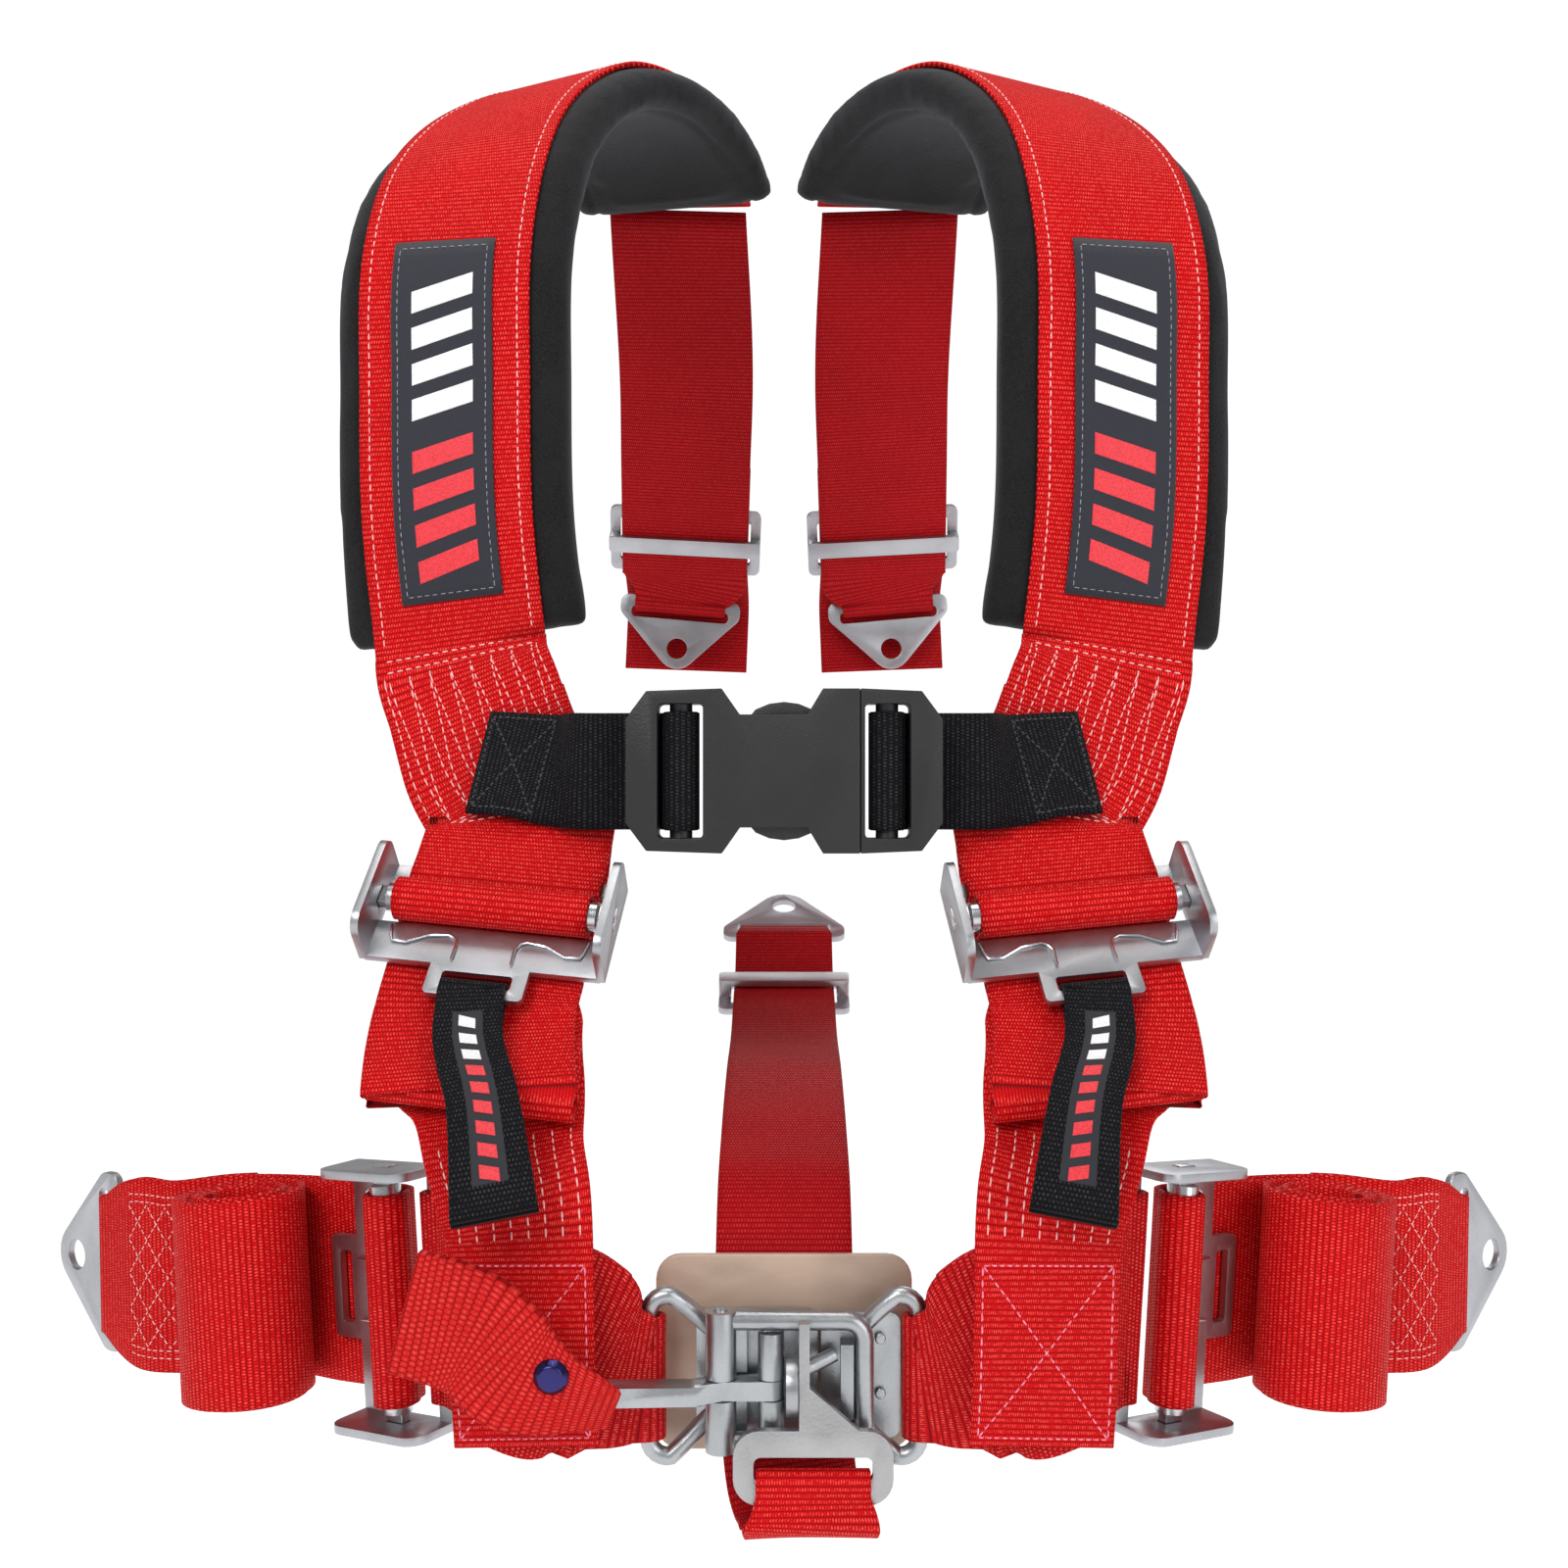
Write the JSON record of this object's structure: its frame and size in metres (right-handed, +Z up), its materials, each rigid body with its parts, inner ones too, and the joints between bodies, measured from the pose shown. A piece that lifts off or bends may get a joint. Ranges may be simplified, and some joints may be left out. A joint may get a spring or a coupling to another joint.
{
  "type": "racing harness",
  "caption": "Racing harness in worn shape: padded shoulder belts, lap belts, crotch strap, sternum strap with side-release buckle, and a lever latch.",
  "frame": {"origin": "midway between the undersides of the two shoulder pads' crowns, where the wearer's shoulders carry the harness", "axes": "+X to the onlooker's right, -Y towards the onlooker (the wearer's front), +Z up"},
  "size_m": [0.622, 0.5085, 0.5989],
  "materials": {
    "red_webbing": "woven polyester",
    "red_flap": "thick doubled webbing",
    "black_webbing": "woven nylon",
    "pad_fabric": "soft velour",
    "label_fabric": "woven patch",
    "satin_steel": "satin zinc plate",
    "bright_steel": "bright zinc plate",
    "rivet_steel": "dark plated",
    "buckle_plastic": "fine grain",
    "tan_pad": "smooth backing"
  },
  "bodies": {
    "harness": {"shoulder_pad_left": "pad_fabric", "shoulder_pad_right": "pad_fabric", "shoulder_webbing_left": "red_webbing", "shoulder_webbing_right": "red_webbing", "pad_label_left": "label_fabric", "pad_label_right": "label_fabric", "rear_webbing_left": "red_webbing", "rear_webbing_right": "red_webbing", "shoulder_adjuster_frame_left": "satin_steel", "shoulder_adjuster_frame_right": "satin_steel", "shoulder_adjuster_bar_left": "bright_steel", "shoulder_adjuster_bar_right": "bright_steel", "shoulder_adjuster_springs_left": "bright_steel", "shoulder_adjuster_springs_right": "bright_steel", "link_webbing_left": "red_webbing", "link_webbing_right": "red_webbing", "lap_adjuster_frame_left": "satin_steel", "lap_adjuster_frame_right": "satin_steel", "lap_adjuster_bar_left": "bright_steel", "lap_adjuster_bar_right": "bright_steel", "lap_adjuster_springs_left": "bright_steel", "lap_adjuster_springs_right": "bright_steel", "lap_webbing_inner_left": "red_webbing", "lap_webbing_inner_right": "red_webbing", "lap_webbing_outer_left": "red_webbing", "lap_webbing_outer_right": "red_webbing", "lap_roll_left": "red_webbing", "lap_roll_right": "red_webbing", "latch_base": "satin_steel", "latch_pivot_pin": "bright_steel", "link_plate": "satin_steel", "link_plate_studs": "bright_steel", "link_peg": "bright_steel", "latch_pad": "tan_pad", "crotch_webbing": "red_webbing", "sternum_strap_left": "black_webbing", "buckle_female": "buckle_plastic"},
    "lever": {"latch_lever": "satin_steel", "lever_tab": "red_flap", "lever_tab_rivet": "rivet_steel", "bail_pin": "bright_steel"},
    "bail": {"latch_bail": "satin_steel"},
    "tongue": {"crotch_tongue": "satin_steel", "crotch_loop": "red_webbing"},
    "buckle_male": {"buckle_male": "buckle_plastic", "sternum_strap_right": "black_webbing"},
    "prong_upper": {"buckle_prong_upper": "buckle_plastic"},
    "prong_lower": {"buckle_prong_lower": "buckle_plastic"},
    "crotch_slide": {"crotch_slide": "satin_steel"},
    "crotch_bolt_plate": {"crotch_bolt_plate": "satin_steel"},
    "rear_slide_left": {"rear_slide_left": "satin_steel"},
    "rear_bolt_plate_left": {"rear_bolt_plate_left": "satin_steel"},
    "lap_bolt_plate_left": {"lap_bolt_plate_left": "satin_steel"},
    "pull_tab_left": {"pull_tab_left": "black_webbing"},
    "rear_slide_right": {"rear_slide_right": "satin_steel"},
    "rear_bolt_plate_right": {"rear_bolt_plate_right": "satin_steel"},
    "lap_bolt_plate_right": {"lap_bolt_plate_right": "satin_steel"},
    "pull_tab_right": {"pull_tab_right": "black_webbing"}
  },
  "joints": [
    {"name": "lever_hinge", "type": "hinge", "parent": "harness", "child": "lever", "pos_m": [-0.0045, -0.203, -0.523], "axis": [0, 0, 1], "range_deg": [0, 65]},
    {"name": "bail_hinge", "type": "hinge", "parent": "lever", "child": "bail", "pos_m": [-0.022, -0.203, -0.523], "axis": [0, 0, 1], "range_deg": [-65.1, 0]},
    {"name": "tongue_release", "type": "slide", "parent": "harness", "child": "tongue", "axis": [0, -1, 0], "range_m": [0, 0.0255]},
    {"name": "buckle_release", "type": "slide", "parent": "harness", "child": "buckle_male", "axis": [1, 0, 0], "range_m": [0, 0.038]},
    {"name": "prong_upper_squeeze", "type": "slide", "parent": "buckle_male", "child": "prong_upper", "axis": [0, 0, -1], "range_m": [0, 0.004], "stiffness_N_per_m": 500},
    {"name": "prong_lower_squeeze", "type": "slide", "parent": "buckle_male", "child": "prong_lower", "axis": [0, 0, 1], "range_m": [0, 0.004], "stiffness_N_per_m": 500},
    {"name": "crotch_slide_travel", "type": "slide", "parent": "harness", "child": "crotch_slide", "axis": [0, -0.9455, -0.3256], "range_m": [0, 0.01]},
    {"name": "crotch_bolt_plate_hinge", "type": "hinge", "parent": "harness", "child": "crotch_bolt_plate", "pos_m": [0, 0.09446, -0.39522], "axis": [1, 0, 0], "range_deg": [-20, 20]},
    {"name": "rear_slide_left_travel", "type": "slide", "parent": "harness", "child": "rear_slide_left", "axis": [0.0429, -0.5736, 0.818], "range_m": [0, 0.018]},
    {"name": "rear_bolt_plate_left_hinge", "type": "hinge", "parent": "harness", "child": "rear_bolt_plate_left", "pos_m": [-0.06407, 0.2481, -0.20326], "axis": [0.9962, 0, -0.0872], "range_deg": [-25, 5]},
    {"name": "lap_bolt_plate_left_hinge", "type": "hinge", "parent": "harness", "child": "lap_bolt_plate_left", "pos_m": [-0.27754, -0.09106, -0.51403], "axis": [0.0282, -0.0205, -0.9994], "range_deg": [-10, 17]},
    {"name": "pull_tab_left_swing", "type": "hinge", "parent": "harness", "child": "pull_tab_left", "pos_m": [-0.11558, -0.16546, -0.39321], "axis": [0.9907, -0.1041, -0.0872], "range_deg": [-60, 0]},
    {"name": "rear_slide_right_travel", "type": "slide", "parent": "harness", "child": "rear_slide_right", "axis": [-0.0429, -0.5736, 0.818], "range_m": [0, 0.018]},
    {"name": "rear_bolt_plate_right_hinge", "type": "hinge", "parent": "harness", "child": "rear_bolt_plate_right", "pos_m": [0.06407, 0.2481, -0.20326], "axis": [0.9962, 0, 0.0872], "range_deg": [-25, 5]},
    {"name": "lap_bolt_plate_right_hinge", "type": "hinge", "parent": "harness", "child": "lap_bolt_plate_right", "pos_m": [0.27754, -0.09106, -0.51403], "axis": [0.0282, 0.0205, 0.9994], "range_deg": [-10, 17]},
    {"name": "pull_tab_right_swing", "type": "hinge", "parent": "harness", "child": "pull_tab_right", "pos_m": [0.11558, -0.16546, -0.39321], "axis": [0.9907, 0.1041, 0.0872], "range_deg": [-60, 0]}
  ],
  "couplings": [
    {"joint": "bail_hinge", "follows": "lever_hinge", "ratio": -1},
    {"joint": "tongue_release", "follows": "lever_hinge", "m_per_rad": 0.022}
  ]
}
